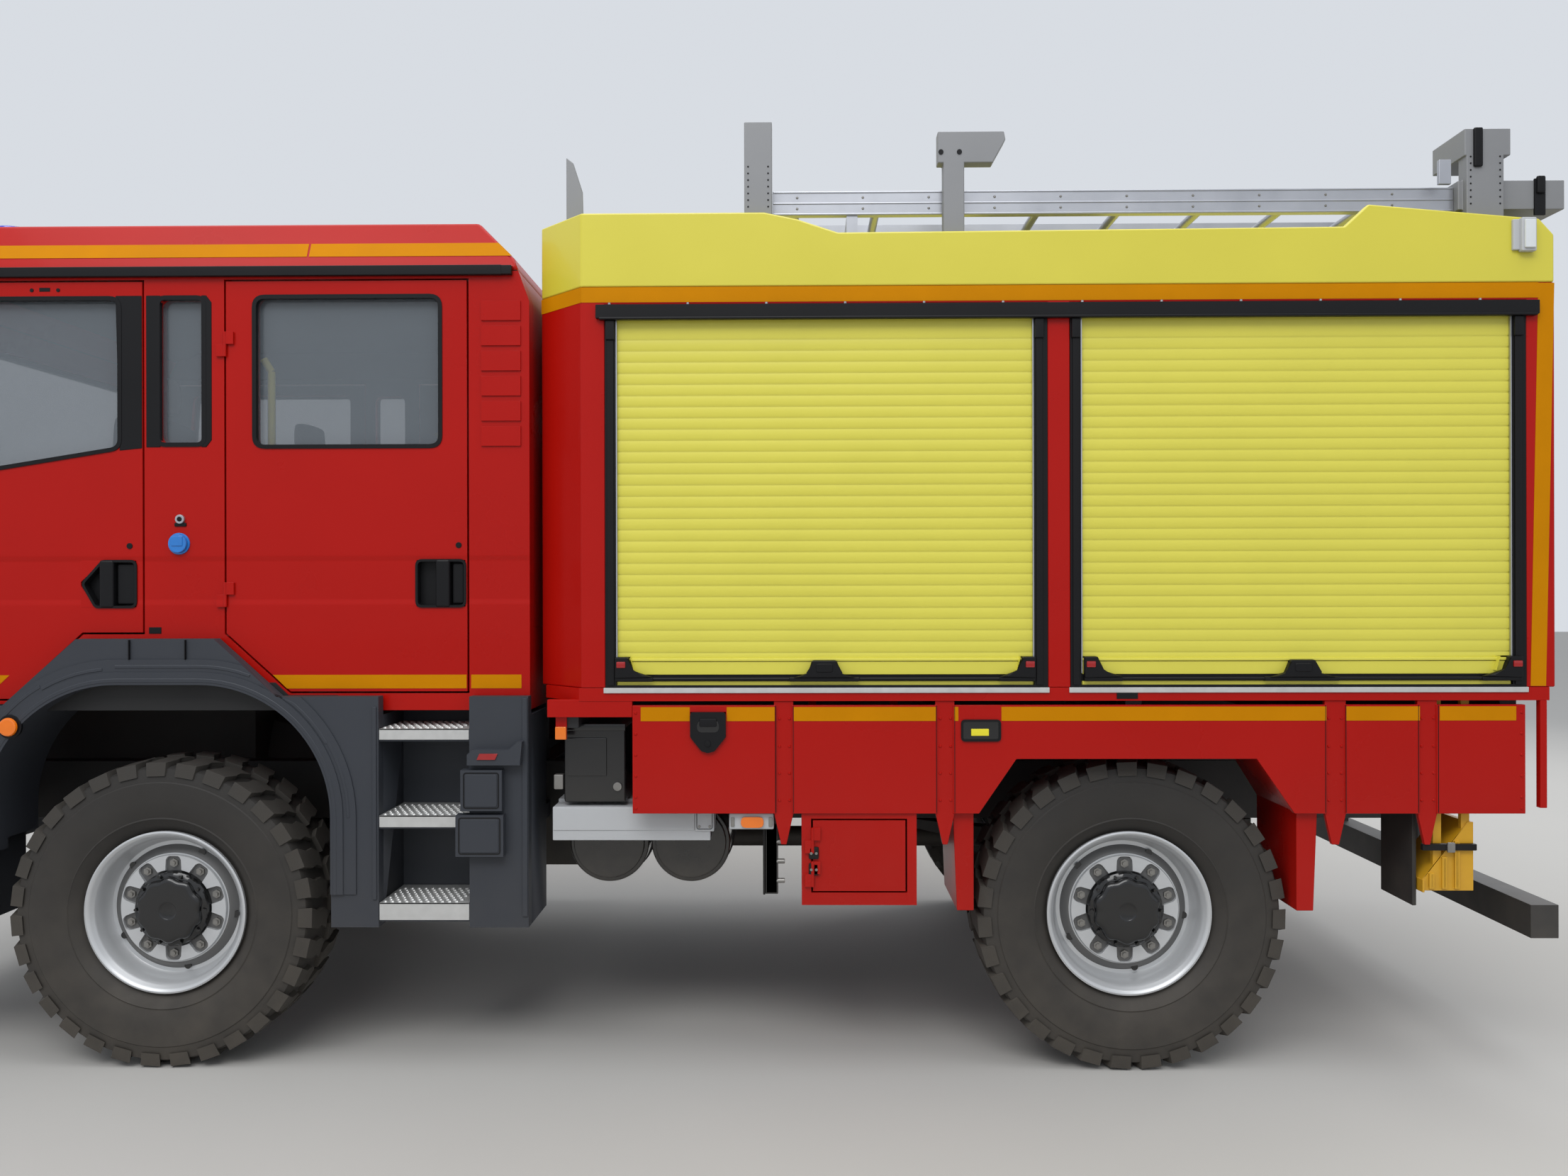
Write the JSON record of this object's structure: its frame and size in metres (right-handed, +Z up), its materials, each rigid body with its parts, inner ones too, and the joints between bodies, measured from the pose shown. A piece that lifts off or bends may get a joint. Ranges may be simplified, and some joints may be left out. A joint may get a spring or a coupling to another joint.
{
  "type": "rural water tender fire truck",
  "caption": "Four-wheel-drive crew-cab water tender with slatted roller shutters, skirted body, roof ladder and gantry.",
  "frame": {"origin": "on the ground, under the middle of the overall length and width", "axes": "+X to the rear, +Y to the truck's right, +Z up"},
  "size_m": [6.54, 2.88, 3.4199],
  "materials": {
    "aluminium_sheet": "brushed",
    "amber_plastic": "satin",
    "anthracite_plastic": "fine grain",
    "black_enamel": "gloss",
    "black_rail": "satin anodised",
    "cast_metal": "rough",
    "chassis_paint": "satin, dusty",
    "flap_rubber": "matt",
    "glass": "tinted",
    "grey_coating": "worn grey",
    "grey_cover": "satin",
    "interior_plastic": "grained",
    "ladder_aluminium": "drawn",
    "lamp_lens": "clear lens",
    "red_paint": "gloss",
    "rim_silver": "silver paint",
    "seat_fabric": "woven",
    "shutter_yellow": "fluorescent film",
    "silencer_steel": "dull",
    "spring_steel": "satin",
    "tank_plastic": "plain",
    "tyre_rubber": "worn",
    "yellow_paint": "fluorescent, satin"
  },
  "bodies": {
    "chassis": {"air_tanks": "black_enamel", "battery_box": "grey_cover", "body_bearers": "chassis_paint", "body_floor": "red_paint", "body_shell": "red_paint", "driveline": "cast_metal", "engine_block": "cast_metal", "frame_rails": "chassis_paint", "front_axle": "chassis_paint", "front_bumper": "anthracite_plastic", "fuel_tank": "aluminium_sheet", "ladders": "ladder_aluminium", "lamps": "lamp_lens", "leaf_springs": "spring_steel", "mudflaps": "flap_rubber", "rear_axle": "chassis_paint", "rear_mudguards": "red_paint", "roof_band": "yellow_paint", "roof_gantry": "grey_coating", "shutter_frames": "black_rail", "shutters": "shutter_yellow", "silencer": "silencer_steel", "skirts": "red_paint", "step_unit_left": "anthracite_plastic", "step_unit_right": "anthracite_plastic", "subframe": "chassis_paint", "under_lockers": "red_paint", "underrun_bar": "chassis_paint", "water_tank": "tank_plastic", "wheel_chocks": "amber_plastic"},
    "knuckle_left": {"knuckle_left": "cast_metal"},
    "knuckle_right": {"knuckle_right": "cast_metal"},
    "tie_rod": {"tie_rod": "cast_metal"},
    "cab": {"cab_floor": "red_paint", "cab_sides": "red_paint", "cab_roof": "red_paint", "cab_frames": "red_paint", "cab_glass": "glass", "front_panel": "red_paint", "seats": "seat_fabric", "dashboard": "interior_plastic", "cab_fittings": "black_rail"},
    "left_locker_door": {"locker_door_left": "red_paint"},
    "right_locker_door": {"locker_door_right": "red_paint"},
    "wheel_front_left": {"rim_front_left": "rim_silver", "tyre_front_left": "tyre_rubber"},
    "front_left_door": {"door_front_left": "red_paint", "pane_front_left": "glass"},
    "wheel_front_right": {"rim_front_right": "rim_silver", "tyre_front_right": "tyre_rubber"},
    "front_right_door": {"door_front_right": "red_paint", "pane_front_right": "glass"},
    "wheel_rear_left": {"rim_rear_left": "rim_silver", "tyre_rear_left": "tyre_rubber"},
    "rear_left_door": {"door_rear_left": "red_paint", "pane_rear_left": "glass"},
    "wheel_rear_right": {"rim_rear_right": "rim_silver", "tyre_rear_right": "tyre_rubber"},
    "rear_right_door": {"door_rear_right": "red_paint", "pane_rear_right": "glass"}
  },
  "joints": [
    {"name": "steer_left", "type": "hinge", "parent": "chassis", "child": "knuckle_left", "pos_m": [-1.805, -0.83, 0.56], "axis": [0, 0, 1], "range_deg": [-35, 35]},
    {"name": "steer_right", "type": "hinge", "parent": "chassis", "child": "knuckle_right", "pos_m": [-1.805, 0.83, 0.56], "axis": [0, 0, 1], "range_deg": [-35, 35]},
    {"name": "tie_rod_swing", "type": "hinge", "parent": "knuckle_left", "child": "tie_rod", "pos_m": [-1.575, -0.83, 0.437], "axis": [0, 0, 1], "range_deg": [-35, 35]},
    {"name": "roll_front_left", "type": "hinge", "parent": "knuckle_left", "child": "wheel_front_left", "pos_m": [-1.805, -1.03, 0.56], "axis": [0, 1, 0], "continuous": true},
    {"name": "roll_front_right", "type": "hinge", "parent": "knuckle_right", "child": "wheel_front_right", "pos_m": [-1.805, 1.03, 0.56], "axis": [0, 1, 0], "continuous": true},
    {"name": "roll_rear_left", "type": "hinge", "parent": "chassis", "child": "wheel_rear_left", "pos_m": [1.72, -1.03, 0.56], "axis": [0, 1, 0], "continuous": true},
    {"name": "roll_rear_right", "type": "hinge", "parent": "chassis", "child": "wheel_rear_right", "pos_m": [1.72, 1.03, 0.56], "axis": [0, 1, 0], "continuous": true},
    {"name": "cab_tilt", "type": "hinge", "parent": "chassis", "child": "cab", "pos_m": [-3.17, 0, 1.06], "axis": [0, -1, 0], "range_deg": [0, 50]},
    {"name": "open_front_left_door", "type": "hinge", "parent": "cab", "child": "front_left_door", "pos_m": [-3.014, -1.147, 2.2], "axis": [0, 0, -1], "range_deg": [0, 75]},
    {"name": "open_front_right_door", "type": "hinge", "parent": "cab", "child": "front_right_door", "pos_m": [-3.014, 1.147, 2.2], "axis": [0, 0, 1], "range_deg": [0, 75]},
    {"name": "open_rear_left_door", "type": "hinge", "parent": "cab", "child": "rear_left_door", "pos_m": [-1.582, -1.147, 2.2], "axis": [0, 0, -1], "range_deg": [0, 75]},
    {"name": "open_rear_right_door", "type": "hinge", "parent": "cab", "child": "rear_right_door", "pos_m": [-1.582, 1.147, 2.2], "axis": [0, 0, 1], "range_deg": [0, 75]},
    {"name": "open_left_locker", "type": "hinge", "parent": "chassis", "child": "left_locker_door", "pos_m": [0.57, -1.247, 0.8], "axis": [0, 0, -1], "range_deg": [0, 105]},
    {"name": "open_right_locker", "type": "hinge", "parent": "chassis", "child": "right_locker_door", "pos_m": [0.57, 1.247, 0.8], "axis": [0, 0, 1], "range_deg": [0, 105]}
  ],
  "couplings": [
    {"joint": "steer_right", "follows": "steer_left", "ratio": 1},
    {"joint": "tie_rod_swing", "follows": "steer_left", "ratio": -1}
  ]
}
